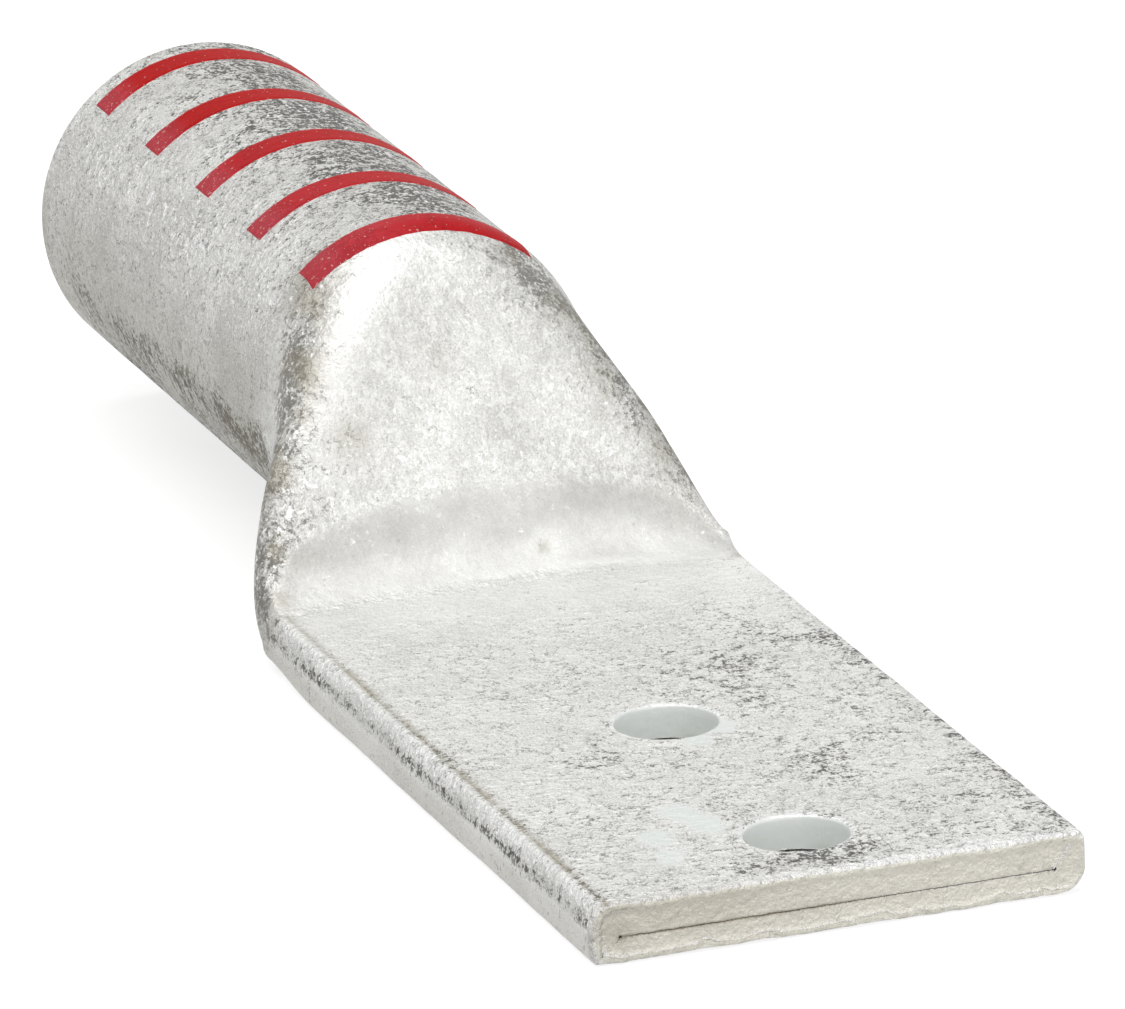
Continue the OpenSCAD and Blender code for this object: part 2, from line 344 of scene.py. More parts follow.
MOUTH_ROUND, TIP_LAST = 0.35, TIP_X - 0.62
patch_len = PATCH * 0.5
left_hole, right_hole = HOLE_X
outer_x = spaced(
    (MOUTH_X + MOUTH_ROUND, NECK_X, 100),
    (NECK_X, BEND_X, 54),
    (BEND_X, left_hole - patch_len, 54),
    (left_hole - patch_len, left_hole + patch_len, 2 * PATCH),
    (left_hole + patch_len, right_hole - patch_len, 28),
    (right_hole - patch_len, right_hole + patch_len, 2 * PATCH),
    (right_hole + patch_len, TIP_LAST, 8),
)
inner_x = spaced(
    (SLIT_X, SLIT_X - 1.2, 5),
    (SLIT_X - 1.2, right_hole + patch_len, 2),
    (right_hole + patch_len, right_hole - patch_len, 2 * PATCH),
    (right_hole - patch_len, left_hole + patch_len, 6),
    (left_hole + patch_len, left_hole - patch_len, 2 * PATCH),
    (left_hole - patch_len, BEND_X, 10),
    (BEND_X, NECK_X, 26),
    (NECK_X, MOUTH_X + 0.6, 14),
)
columns = np.arange(COLS)
outer = outside(outer_x[:, None], columns)
outer = settled(outer, grid_normals(outer, True))

# The shear rolls the tip's upper and left edges over, and leaves a ragged burr along its lower edge.
ROLL_ROWS = 6
last = outer[-1]
ring_tangent = np.roll(last, -1, 0) - np.roll(last, 1, 0)
ring_normal = np.stack([np.zeros(COLS), ring_tangent[:, 2], -ring_tangent[:, 1]], -1)
ring_normal /= np.linalg.norm(ring_normal, axis=1, keepdims=True)
facing_up, facing_left = step(ring_normal[:, 2], -0.2, 0.5), step(-ring_normal[:, 1], -0.3, 0.4)
wander = soft_noise(last * [0, 1, 1], 1.5, 13) * 0.6 + soft_noise(last * [0, 1, 1], 0.8, 17) * 0.4
roll_r = 0.10 + 0.36 * np.maximum(facing_up, 0.8 * facing_left) * (0.3 + 1.1 * wander)
roll_r += 0.22 * facing_left * (1 - step(last[:, 1], -16.4, -15.0))
roll_r = np.minimum(roll_r, 0.60)
tip_rings = []
for row in range(ROLL_ROWS + 1):
    angle = math.pi / 2 * row / ROLL_ROWS
    ring = last - ring_normal * (roll_r * (1 - math.cos(angle)))[:, None]
    ring[:, 0] = TIP_X - roll_r * (1 - math.sin(angle))
    tip_rings.append(ring)
burr = 0.30 * soft_noise(last * [0, 1, 0], 1.1, 19) + 0.22 * soft_noise(last * [0, 1, 0], 2.6, 23)
burr += 0.28 * step(soft_noise(last * [0, 1, 0], 1.4, 25), 0.62, 0.72)
burr *= step(-ring_normal[:, 2], 0.3, 0.8)
for row, ring in enumerate(tip_rings):
    ring[:, 2] += burr * (0.35 + 0.65 * row / ROLL_ROWS)
    ring[:, 0] -= 0.5 * burr * (row / ROLL_ROWS)

# The sheared face lies a hair behind that rim, deeper at the left, and runs in to the slit.
FACE_SHARES = (0.035, 0.10, 0.20, 0.32, 0.45, 0.58, 0.71, 0.83, 0.91, 0.96, 0.99)
inner = inside(inner_x[:, None], columns)
inner[:, :, 2] += 0.05 * (soft_noise(inner * [1, 1, 0], 2.3, 37) - 0.5) * step(inner[..., 0], BEND_X, BEND_X + 4)
rim, slit = tip_rings[-1], inner[0]
for share in FACE_SHARES:
    ring = rim + (slit - rim) * share
    recess = 0.05 + 0.06 * soft_noise(ring * [0, 1, 1], 0.6, 29) + 0.06 * soft_noise(ring * [0, 1, 1], 1.9, 31)
    recess += 0.15 * (1 - step(ring[:, 1], -16.8, -13.0))
    ring[:, 0] = TIP_X - recess * step(share, 0, 0.22) - 0.03 * step(share, 0.93, 1.0)
    tip_rings.append(ring)

# The mouth: a chamfer inside, a flat end face, and a small round outside.
CHAMFER = 0.6
turned = np.stack([np.zeros(COLS), *((inner[-1, :, 1:] - [0, AXIS_H]) / BORE_R).T], -1)
mouth_rings = []
for x, r in (
    (MOUTH_X + CHAMFER * 0.5, BORE_R + CHAMFER * 0.5),
    (MOUTH_X + 0.03, BORE_R + CHAMFER - 0.03),
    (MOUTH_X, BORE_R + CHAMFER + 0.03),
    (MOUTH_X, BORE_R + 1.1),
    (MOUTH_X, BARREL_R - 0.9),
    (MOUTH_X, BARREL_R - MOUTH_ROUND - 0.06),
    (MOUTH_X + MOUTH_ROUND * 0.1, BARREL_R - MOUTH_ROUND * 0.6 - 0.05),
    (MOUTH_X + MOUTH_ROUND * 0.4, BARREL_R - MOUTH_ROUND * 0.2 - 0.04),
):
    mouth_rings.append(np.array([x, 0, AXIS_H]) + turned * r)

# One closed skin: along the outside, across the tip, back through the hollow and out over the mouth.
rings = np.concatenate([outer, np.array(tip_rings), inner, np.array(mouth_rings)])
ROWS = len(rings)
inner_start = len(outer) + len(tip_rings)
index = np.arange(ROWS * COLS).reshape(ROWS, COLS)
kept = np.ones((ROWS, COLS), bool)


def hole_loop(first_row, row_step, centre_col, column_sign):
    """Vertex numbers round the square that a hole's patch fills, counter-clockwise from above, and their angles."""
    side = np.arange(-PATCH, PATCH)
    dx = np.concatenate([np.full(side.shape, PATCH), -side, np.full(side.shape, -PATCH), side])
    dy = np.concatenate([side, np.full(side.shape, PATCH), -side, np.full(side.shape, -PATCH)])
    rows = first_row + row_step * (dx + PATCH)
    return index[rows, centre_col + column_sign * dy], np.arctan2(dy, dx)


def open_patch(first_row, centre_col):
    """Takes the grid's faces out of one hole's square."""
    kept[first_row : first_row + 2 * PATCH, centre_col - PATCH : centre_col + PATCH] = False


points = [rings.reshape(-1, 3)]
quads = []
count = ROWS * COLS
row_of = lambda xs, x: int(np.argmin(abs(xs - x)))
for hole_x in HOLE_X:
    outer_row = row_of(outer_x, hole_x - patch_len)
    inner_row = inner_start + row_of(inner_x, hole_x + patch_len)
    for centre_col, sign, wall, lip in ((TOP_COL, -1, "upper", HOLE_BEVEL), (LOW_COL, 1, "lower", 0.10)):
        open_patch(outer_row, centre_col)
        open_patch(inner_row, centre_col)
        skin_loop, angles = hole_loop(outer_row, 1, centre_col, sign)
        slit_loop, _ = hole_loop(inner_row + 2 * PATCH, -1, centre_col, sign)
        flat = points[0]
        ray = np.stack([np.cos(angles), np.sin(angles), np.zeros_like(angles)], -1)
        centre = np.array([hole_x, 0, 0])
        face_z = TONGUE_T - 0.04 if wall == "upper" else 0.03
        slit_z = SEAM_H + (SEAM_GAP / 2 if wall == "upper" else -SEAM_GAP / 2)
        inward = -1 if wall == "upper" else 1
        uneven = 0.6 + 0.8 * soft_noise(centre + ray * HOLE_R, 2.0, 41)
        bevel = lip * uneven
        skin_rim = centre + ray * (HOLE_R + bevel)[:, None] + [0, 0, face_z]
        slit_rim = centre + ray * (HOLE_R + 0.02) + [0, 0, slit_z]
        skin_side = [
            skin_rim + (flat[skin_loop] - skin_rim) * share for share in (0.82, 0.62, 0.44, 0.28, 0.15, 0.06, 0.0)
        ]
        for a in (0.35, 0.70, 1.0):
            turn = a * math.pi / 2
            r = HOLE_R + bevel * (1 - math.sin(turn))
            z = face_z + inward * bevel * (1 - math.cos(turn))
            skin_side.append(centre + ray * r[:, None] + np.stack([0 * z, 0 * z, z], -1))
        wall_start = skin_side[-1]
        walls = [wall_start + (slit_rim - wall_start) * share for share in (0.25, 0.5, 0.75, 0.94)]
        slit_side = [slit_rim] + [slit_rim + (flat[slit_loop] - slit_rim) * share for share in (0.15, 0.5)]
        stack = skin_side + walls + slit_side
        if wall == "lower":
            stack, first_loop, last_loop = stack[::-1], slit_loop, skin_loop
        else:
            first_loop, last_loop = skin_loop, slit_loop
        new = np.concatenate(stack)
        tube = count + np.arange(len(new)).reshape(len(stack), -1)
        tube = np.concatenate([first_loop[None], tube, last_loop[None]])
        nxt = np.roll(tube, -1, 1)
        quads.append(np.stack([tube[:-1], nxt[:-1], nxt[1:], tube[1:]], -1).reshape(-1, 4))
        points.append(new)
        count += len(new)

next_row, next_col = np.roll(index, -1, 0), np.roll(index, -1, 1)
grid = np.stack([index, next_col, np.roll(next_col, -1, 0), next_row], -1)
quads.append(grid[kept])
points, quads = np.concatenate(points), np.concatenate(quads)
used = np.zeros(len(points), bool)
used[quads.ravel()] = True
renumber = np.cumsum(used) - 1
points, quads = points[used], renumber[quads]
part_of = np.concatenate(
    [
        np.repeat([0, 1, 2, 3], [len(outer) * COLS, len(tip_rings) * COLS, len(inner) * COLS, len(mouth_rings) * COLS]),
        np.full(count - ROWS * COLS, 4),
    ]
)[used]


def mesh_piece(name, points_mm, faces, body="root"):
    """A smooth mesh object at the origin, from points in mm and faces of four points, riding on a body."""
    mesh = bpy.data.meshes.new(name)
    mesh.from_pydata((points_mm * MM).tolist(), [], faces.tolist())
    mesh.polygons.foreach_set("use_smooth", np.ones(len(mesh.polygons), bool))
    mesh.set_sharp_from_angle(angle=math.radians(42))
    mesh.validate()
    made = bpy.data.objects.new(name, mesh)
    bpy.context.scene.collection.objects.link(made)
    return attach(made, body)


def paint(piece, name, values):
    """Stores one number per vertex as an attribute that the piece's material reads."""
    attribute = piece.data.attributes.new(name, "FLOAT", "POINT")
    attribute.data.foreach_set("value", np.clip(values, 0, 1).astype(np.float32))


body = mesh_piece("tinned_body", points, quads)
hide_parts("lug_body")

# Where the tin is tarnished or stained, and where shade, highlights, sparkle and glints are painted into its colour.
# Lines over the neck, as places in mm.
LEFT_STRIP = (
    (-62.3, -7.6, 23.2),
    (-60.4, -8.8, 21.6),
    (-57.7, -10.5, 18.2),
    (-54.9, -12.5, 14.6),
    (-52.6, -14.4, 11.0),
    (-50.2, -16.1, 7.2),
    (-47.6, -17.3, 4.4),
)
LEFT_PATCH = ((-53.3, -8.5, 14.0), (-51.9, -10.6, 11.0), (-51.0, -12.5, 9.4), (-49.6, -14.6, 7.4))
RIGHT_STRIP = ((-60.4, 6.9, 23.6), (-58.1, 8.8, 20.7), (-54.6, 11.6, 15.4), (-53.6, 13.4, 12.0), (-51.4, 15.3, 8.2))
CROWN_SPECKS = ((-61.5, 1.0, 25.9), (-59.5, 4.5, 23.8), (-57.6, 6.5, 21.0))
# Line of the painted highlight along the slope's left shoulder.
SHOULDER = (
    (-61.0, -1.6, 25.6),
    (-59.0, -4.7, 23.6),
    (-57.0, -7.3, 20.9),
    (-55.3, -9.2, 18.0),
    (-53.7, -10.2, 14.9),
    (-52.5, -10.3, 12.3),
)


def near_path(places, path, width):
    """Bell curve of the distance from each place to the broken line through the points of a path."""
    nearest = np.full(len(places), np.inf)
    for start, end in zip(np.array(path[:-1]), np.array(path[1:])):
        along = end - start
        share = np.clip((places - start) @ along / (along @ along), 0, 1)
        nearest = np.minimum(nearest, np.linalg.norm(places - start - share[:, None] * along, axis=1))
    return hump(nearest, 0, width)


normals = np.zeros(len(points) * 3)
body.data.vertices.foreach_get("normal", normals)
normals = normals.reshape(-1, 3)
x, y, z = points.T
nx, ny, nz = normals.T
turned_by = np.degrees(np.arctan2(y, z - AXIS_H))
on_barrel = 1 - step(x, NECK_X - 1, NECK_X + 3)
on_tongue = step(x, -47.5, -44.5)
on_neck = (1 - on_barrel) * (1 - on_tongue)
top_side = step(nz, 0.75, 0.95)
skin = part_of != 2
patchy, blotchy = soft_noise(points, 6.0, 43), soft_noise(points * [0.6, 1, 1], 2.4, 71)

arc, bend = foot_lines(y)
pressed = pressed_share(points) * step(nz, 0.2, 0.45) * (1 - on_barrel)
wander = soft_noise(points, 13.0, 71)
ragged_x, low_side = x + 14 * (wander - 0.5), 1 - step(turned_by + 16 * (wander - 0.5), -114, -92)
# Density of dark specks and grey patches. Part of it is the tin's own tarnish and specks. Part of it is painted shade:
# on the barrel's lower side and underside, on the neck's lower side, on its sides and on its faces turned down.
tarnish_and_painted_shade = on_barrel * (
    0.20
    + 0.46 * hump(turned_by, 12, 44)
    + 0.34 * low_side * step(ragged_x, -114, -99)
    + 0.15 * (1 - step(turned_by, -130, -120))
    + 0.36 * hump(turned_by, -103, 8) * step(ragged_x, -113, -100) * (0.5 + 0.6 * step(blotchy, 0.3, 0.7))
    + 0.25 * step(turned_by, 95, 130)
)
tarnish_and_painted_shade += on_neck * (0.01 + 0.34 * low_side * (1 - step(ragged_x, -73, -60)) + 0.25 * step(-ny, 0.6, 0.9) + 0.30 * step(ny, 0.5, 0.8) + 0.22 * step(-nz, 0.2, 0.8))
for path, width, amount in (
    (LEFT_STRIP, 2.3, 0.55),
    (LEFT_PATCH, 1.2, 0.28),
    (RIGHT_STRIP, 2.3, 0.64),
    (CROWN_SPECKS, 1.8, 0.32),
):
    tarnish_and_painted_shade += amount * near_path(points, path, width) * (1 - 0.8 * pressed)
tarnish_and_painted_shade *= 1 - 0.9 * pressed
tongue_top = 0.10 + 0.21 * step(x, -40, -24) + 0.10 * step(y, -9, 6) * step(x, -42, -26)
tongue_top += 0.06 * step(x, 6, 10) * (1 - step(y, 3, 6)) + 0.14 * (soft_noise(points * [1, 1, 0], 4.5, 67) - 0.5)
tongue_top += 0.25 * hump(x, 17.8, 1.7) * hump(y, -1.0, 6.0) + 0.12 * step(y, 15.0, 16.6)
# Painted shade on the tongue's sides: a dark line along the left side at mid height, and more darkness over the upper
# side and the right side.
tongue_side = 0.12 + 0.08 * step(z, 1.8, 2.8) + 0.50 * hump(z, 3.0, 0.42) * step(-ny, 0.3, 0.6) + 0.25 * step(ny, 0.3, 0.7)
tarnish_and_painted_shade += on_tongue * (top_side * tongue_top + (1 - top_side) * tongue_side)
tarnish_and_painted_shade += 0.30 * on_tongue * hump(y, -16.1, 0.25) * step(nz, 0.5, 0.9)
tarnish_and_painted_shade += 0.10 * (patchy - 0.5)
hole_wall = (part_of == 4) & (abs(nz) < 0.6)
off_hole = np.minimum(*(np.hypot(x - hole_x, y) for hole_x in HOLE_X)) - HOLE_R
wash = np.zeros_like(x)
for wx, wy, r in ((5.0, -5.9, 1.5), (8.5, -4.6, 1.5), (9.7, -8.8, 1.4), (14.0, -9.5, 1.1), (-10.5, 3.0, 1.3), (-8.2, 0.5, 1.0)):
    wash += np.exp(-(((x - wx) / 1.5) ** 2 + (y - wy) ** 2) / r**2)
wash = top_side * on_tongue * step(wash + 0.5 * (soft_noise(points, 1.0, 59) - 0.5), 0.30, 0.75)
tarnish_and_painted_shade *= 1 - 0.8 * wash
tarnish_and_painted_shade = np.select([part_of == 1, part_of == 2, part_of == 3, hole_wall], [0.12, 0.35, 0.15, 0.05], tarnish_and_painted_shade)

# Painted sparkle: where white specks are put into the colour. The roughness is lower there and the relief stronger.
painted_sparkle = on_barrel * (0.50 + 0.55 * hump(turned_by, -62, 26)) + on_neck * 0.40 * (1 - pressed)
painted_sparkle += on_tongue * (0.35 * top_side + (1 - top_side) * step(-ny, 0.2, 0.5) * step(z, 2.6, 3.4))
painted_sparkle += 0.8 * hump(x, TIP_X - 0.3, 0.7) * skin
painted_sparkle = np.where(hole_wall, 0.0, np.where(part_of == 1, 0.8 - 0.6 * step(nx, 0.5, 0.9), painted_sparkle))

# Painted glints: larger white flakes in the colour on the barrel's left, along the neck's arc and left strip, on the
# tongue's left edge and on the tip's lip, with a stronger relief.
glints = on_barrel * 0.9 * hump(turned_by, -55, 12) * step(x, -111, -105) * (1 - 0.6 * step(x, -92, -70))
glints += on_neck * (0.45 * hump(x, arc - 1.2, 1.6) * step(nz, 0.3, 0.5) * (1 - step(y, 10, 13)) + 0.35 * near_path(points, LEFT_STRIP, 2.5))
glints *= 1 - pressed
lip = hump(x, TIP_X, 0.65) * (part_of < 2) * (1 - step(nx, 0.85, 0.97))
glints += on_tongue * (0.55 * hump(y, -16.7, 0.5) * step(nz, 0.1, 0.4) + 0.9 * lip)

# Painted highlights in the colour: along the slope's left shoulder, on the bend, on top of the tongue's left edge, on
# the tip's rolled lip and round the holes' upper rims.
painted_highlight = 0.52 * near_path(points, SHOULDER, 1.7) * step(nz, 0.1, 0.4)
painted_highlight += 0.75 * hump(x, bend - 0.15, 0.38) * step(nz, 0.3, 0.6) * (0.4 + 0.6 * step(y, -6, 8))
painted_highlight += 0.6 * on_tongue * hump(y, -16.75, 0.35) * step(-ny, 0.1, 0.4) + 0.8 * lip
painted_highlight += 0.7 * (part_of == 4) * hump(off_hole, 0.15, 0.25) * (z > 3.8)
painted_highlight = np.where(skin, painted_highlight, 0)

# How pale the tin is. This is partly the tin's own tone and partly painted shade. The barrel and neck are darker than
# the tongue's top, and the tongue's sides are darker above than in their lower halves. In the pressed foot it is darker
# just under the arc and lighter towards the bend.
tone_and_painted_shade = (0.46 + 0.08 * hump(turned_by, -60, 35)) * on_barrel + 0.40 * on_neck
tone_and_painted_shade += on_tongue * (top_side * (0.76 - 0.06 * step(x, -20, 16)) + (1 - top_side) * (0.98 - 0.5 * step(z, 2.0, 3.0)))
tone_and_painted_shade = tone_and_painted_shade * (1 - pressed) + pressed * (0.34 + 0.26 * step(x, arc, bend) - 0.08 * step(-y, 0, 10))
tone_and_painted_shade -= 0.14 * pressed * hump(x, arc + 1.0, 1.1) * step(abs(y - 1), 4, 11)
tone_and_painted_shade += 0.20 * on_tongue * top_side * (1 - step(x, -43, -37))
tone_and_painted_shade = np.where(skin, tone_and_painted_shade, 0.4)

soft = 0.65 * on_neck + 0.35 * pressed + 0.5 * on_tongue * top_side * (1 - step(x, -44, -34)) + 0.5 * wash
soft -= 0.25 * on_neck * np.maximum(near_path(points, LEFT_STRIP, 2.0), near_path(points, RIGHT_STRIP, 2.0))
soft = np.where(hole_wall, 0.8, np.where(part_of == 1, 0.1, soft))

stain = on_tongue * hump(y, -16.08, 0.26) * step(nz, 0.5, 0.9) * (0.55 + 0.6 * step(soft_noise(points, 2.2, 47), 0.35, 0.8))
stain += 0.36 * on_tongue * step(-ny, 0.4, 0.8) * (1 - step(z, 1.8, 2.7)) * (0.6 + 0.7 * patchy)
stain += (0.30 + 0.14 * patchy) * on_barrel * step(-turned_by, 58, 92) * (1 - step(-turned_by, 118, 130)) + 0.03 * pressed
stain += 0.08 * on_barrel * step(-turned_by, 20, 60) + 0.03 * on_neck
stain += 0.60 * near_path(points, LEFT_STRIP, 2.2) * step(soft_noise(points, 2.0, 61), 0.30, 0.70)
stain += 0.35 * near_path(points, RIGHT_STRIP, 2.2) * step(soft_noise(points, 2.0, 61), 0.30, 0.70)
for sx, sy, sz, r, amount in (
    (-56.6, -10.9, 17.8, 1.6, 0.40),
    (-53.3, -8.5, 14.0, 1.8, 0.42),
    (-55.3, -1.7, 18.4, 1.5, 0.16),
    (-48.2, 3.7, 5.8, 0.42, 0.7),
    (-63.4, -6.0, 24.7, 1.8, 0.35),
    (-44.7, 16.9, 4.3, 0.5, 0.9),
):
    stain += amount * np.exp(-((points - [sx, sy, sz]) ** 2).sum(1) / r**2)
end_brown = 0.16 * hump(z, SEAM_H, 0.5) + 0.35 * hump(y, -15.2, 0.9) * hump(z, SEAM_H, 1.0)
end_brown += (0.75 - 0.45 * step(y, -6, 10)) * hump(z, SEAM_H, 0.11) * step(y, -15.6, -15.2) * (1 - step(y, 15.2, 15.6))
end_brown += 0.20 * (1 - step(y, -14, 3)) * (0.5 + step(z, SEAM_H, SEAM_H + 0.8)) + 0.05
end_brown *= 1 - 0.4 * step(y, 0, 12)
stain += np.where(part_of == 1, end_brown * (0.7 + 0.6 * patchy), 0) + 0.7 * (part_of == 2)
sheared = np.where(part_of == 1, step(nx, 0.80, 0.97), 0)
for name, values in (
    ("tarnish_and_painted_shade", tarnish_and_painted_shade),
    ("tone_and_painted_shade", tone_and_painted_shade),
    ("painted_sparkle", painted_sparkle),
    ("glints", glints),
    ("painted_highlight", painted_highlight),
    ("pressed", pressed),
    ("stain", stain),
    ("sheared", sheared),
    ("punched", hole_wall.astype(float)),
    ("soft", soft),
    ("wash", wash),
):
    paint(body, name, values)


def grain_group():
    """Shader group for a plated metal's grain.

    A fine, a middle and a broad noise are added up and shifted by Density, of which NEUTRAL_DENSITY shifts nothing.
    Shade and Pits are 1 where the sum passes their limits, in grey patches and in dark specks, and Pits also where
    short cracks, the thin lines on which another noise is near its mean, cross such a patch. Height is the relief, about 0.
    """
    group = bpy.data.node_groups.new("plated_grain", "ShaderNodeTree")
    for name, kind, way in (
        ("Vector", "NodeSocketVector", "INPUT"),
        ("Density", "NodeSocketFloat", "INPUT"),
        ("Shade", "NodeSocketFloat", "OUTPUT"),
        ("Pits", "NodeSocketFloat", "OUTPUT"),
        ("Grit", "NodeSocketFloat", "OUTPUT"),
        ("Height", "NodeSocketFloat", "OUTPUT"),
        ("Patches", "NodeSocketFloat", "OUTPUT"),
    ):
        group.interface.new_socket(name, in_out=way, socket_type=kind)
    given = group.nodes.new("NodeGroupInput").outputs
    result = group.nodes.new("NodeGroupOutput").inputs

    def cloud(scale, detail, roughness, vector=given["Vector"]):
        settings = {"Vector": vector, "Scale": scale, "Detail": detail, "Roughness": roughness}
        return put(group, "TexNoise", settings).outputs[0]

    def mask(value, start, end):
        sockets = {"Value": value, "From Min": start, "From Max": end}
        return put(group, "MapRange", sockets, interpolation_type="SMOOTHSTEP").outputs[0]

    drawn = put(group, "Mapping", {"Vector": given["Vector"], "Scale": (1.3, 0.9, 0.9)}).outputs[0]
    fine, middle = cloud(3600.0, 4.0, 0.62), cloud(1100.0, 3.0, 0.6, drawn)
    broad, grit, medium = cloud(210.0, 3.0, 0.55), cloud(6500.0, 2.0, 0.55), cloud(1900.0, 2.0, 0.5)
    total = maths(group, "MULTIPLY_ADD", fine, 0.58, maths(group, "MULTIPLY", middle, 0.42))
    total = maths(group, "MULTIPLY_ADD", maths(group, "SUBTRACT", broad, 0.5), 0.34, total)
    total = maths(group, "MULTIPLY_ADD", maths(group, "SUBTRACT", given["Density"], NEUTRAL_DENSITY), 0.40, total)
    from_mean = maths(group, "ABSOLUTE", maths(group, "SUBTRACT", cloud(500.0, 7.0, 0.62), 0.5))
    cracks = maths(group, "SUBTRACT", 1.0, mask(from_mean, 0.002, 0.014))
    cracks = maths(group, "MULTIPLY", cracks, mask(total, 0.45, 0.53))
    shade = mask(total, 0.51, 0.70)
    pits = maths(group, "MAXIMUM", mask(total, 0.625, 0.70), maths(group, "MULTIPLY", cracks, 0.9))
    height = maths(group, "MULTIPLY_ADD", middle, 0.8, maths(group, "MULTIPLY", fine, 0.35))
    height = maths(group, "MULTIPLY_ADD", medium, 0.55, height)
    height = maths(group, "MULTIPLY_ADD", grit, 0.10, height)
    height = maths(group, "MULTIPLY_ADD", pits, -0.06, height)
    height = maths(group, "SUBTRACT", height, 0.90)
    for name, value in (("Shade", shade), ("Pits", pits), ("Grit", grit), ("Height", height), ("Patches", broad)):
        group.links.new(value, result[name])
    return group


NEUTRAL_DENSITY = 0.25
plated_grain = grain_group()


def blend_colour(tree, factor, first, second):
    """Colour between two by a factor."""
    made = put(tree, "Mix", data_type="RGBA")
    for socket, value in ((made.inputs[0], factor), (made.inputs[6], first), (made.inputs[7], second)):
        if isinstance(value, bpy.types.NodeSocket):
            tree.links.new(value, socket)
        else:
            socket.default_value = value if isinstance(value, float) else (*value, 1)
    return made.outputs[2]


def grain_node(tree, vector, density):
    """Places the plated grain in a material and returns its outputs."""
    made = tree.nodes.new("ShaderNodeGroup")
    made.node_tree = plated_grain
    tree.links.new(vector, made.inputs["Vector"])
    tree.links.new(density, made.inputs["Density"])
    return made.outputs


def span(tree, value, start, end, low=0.0, high=1.0):
    """Map Range node: value from start to end becomes low to high, and stays there beyond."""
    sockets = {"Value": value, "From Min": start, "From Max": end, "To Min": low, "To Max": high}
    return put(tree, "MapRange", sockets).outputs[0]


# TIN_BRIGHT is the colour of the painted highlights, sparkle and glints, and of the bright scales in the grain.
TIN_PALE, TIN_MID, TIN_SHADE = (0.92, 0.92, 0.895), (0.52, 0.515, 0.490), (0.40, 0.392, 0.360)
TIN_PIT, TIN_BRIGHT, STAIN_BROWN = (0.055, 0.052, 0.044), (0.97, 0.97, 0.96), (0.30, 0.26, 0.18)
# The hole walls' colour is their pale tin made paler still, as painted light against the shade inside the holes.
SHEARED_BEIGE, HOLE_WALL_PAINTED_LIGHT, WASHED_MINT = (0.84, 0.805, 0.70), (0.93, 0.96, 0.93), (0.80, 0.84, 0.81)

tin, tree, out = new_material("tinned_copper")
place = put(tree, "TexCoord").outputs["Object"]
zone = {
    name: put(tree, "Attribute", attribute_name=name).outputs["Fac"]
    for name in (
        "tarnish_and_painted_shade", "tone_and_painted_shade", "painted_sparkle", "glints", "painted_highlight", "pressed", "stain", "sheared", "punched", "soft", "wash"
    )
}
grain = grain_node(tree, place, zone["tarnish_and_painted_shade"])
crisp = maths(tree, "MULTIPLY_ADD", zone["soft"], -0.8, 1.0)
grit = maths(tree, "MULTIPLY", maths(tree, "SUBTRACT", grain["Grit"], 0.5), maths(tree, "MULTIPLY", crisp, 2.9))
pale = maths(tree, "ADD", maths(tree, "ADD", zone["tone_and_painted_shade"], grit), span(tree, grain["Patches"], 0.34, 0.66, -0.2, 0.2))
colour = blend_colour(tree, pale, TIN_MID, TIN_PALE)
colour = blend_colour(tree, maths(tree, "MULTIPLY", grain["Shade"], 0.42), colour, TIN_SHADE)
# Painted highlights: the colour goes towards TIN_BRIGHT where they lie.
colour = blend_colour(tree, maths(tree, "MULTIPLY", zone["painted_highlight"], 0.85), colour, TIN_BRIGHT)
colour = blend_colour(tree, maths(tree, "MULTIPLY", grain["Pits"], maths(tree, "MULTIPLY_ADD", zone["soft"], -0.6, 0.92)), colour, TIN_PIT)
# White specks of painted sparkle and painted glints in the colour. They also lower the roughness.
spark = put(tree, "TexNoise", {"Vector": place, "Scale": 2900.0, "Detail": 3.0, "Roughness": 0.6}).outputs[0]
spark = maths(tree, "MULTIPLY_ADD", zone["painted_sparkle"], 0.10, spark)
spark = span(tree, maths(tree, "ADD", spark, span(tree, grain["Patches"], 0.35, 0.65, -0.07, 0.07)), 0.66, 0.76)
# Painted glints, where the glints attribute lies.
glints = put(tree, "TexNoise", {"Vector": place, "Scale": 1250.0, "Detail": 3.0, "Roughness": 0.55}).outputs[0]
glints = span(tree, maths(tree, "MULTIPLY_ADD", zone["glints"], 0.14, glints), 0.69, 0.74)
spark = maths(tree, "MAXIMUM", spark, glints)
scales = put(tree, "TexNoise", {"Vector": place, "Scale": 1500.0, "Detail": 5.0, "Roughness": 0.62, "Distortion": 0.5})
scales = span(tree, scales.outputs[0], 0.51, 0.57)
scaly = maths(tree, "MULTIPLY", zone["soft"], maths(tree, "MULTIPLY_ADD", zone["pressed"], -0.40, 0.50))
colour = blend_colour(tree, maths(tree, "MULTIPLY", scales, scaly), colour, TIN_BRIGHT)
colour = blend_colour(tree, spark, colour, TIN_BRIGHT)
colour = blend_colour(tree, maths(tree, "MULTIPLY", zone["sheared"], 0.8), colour, SHEARED_BEIGE)
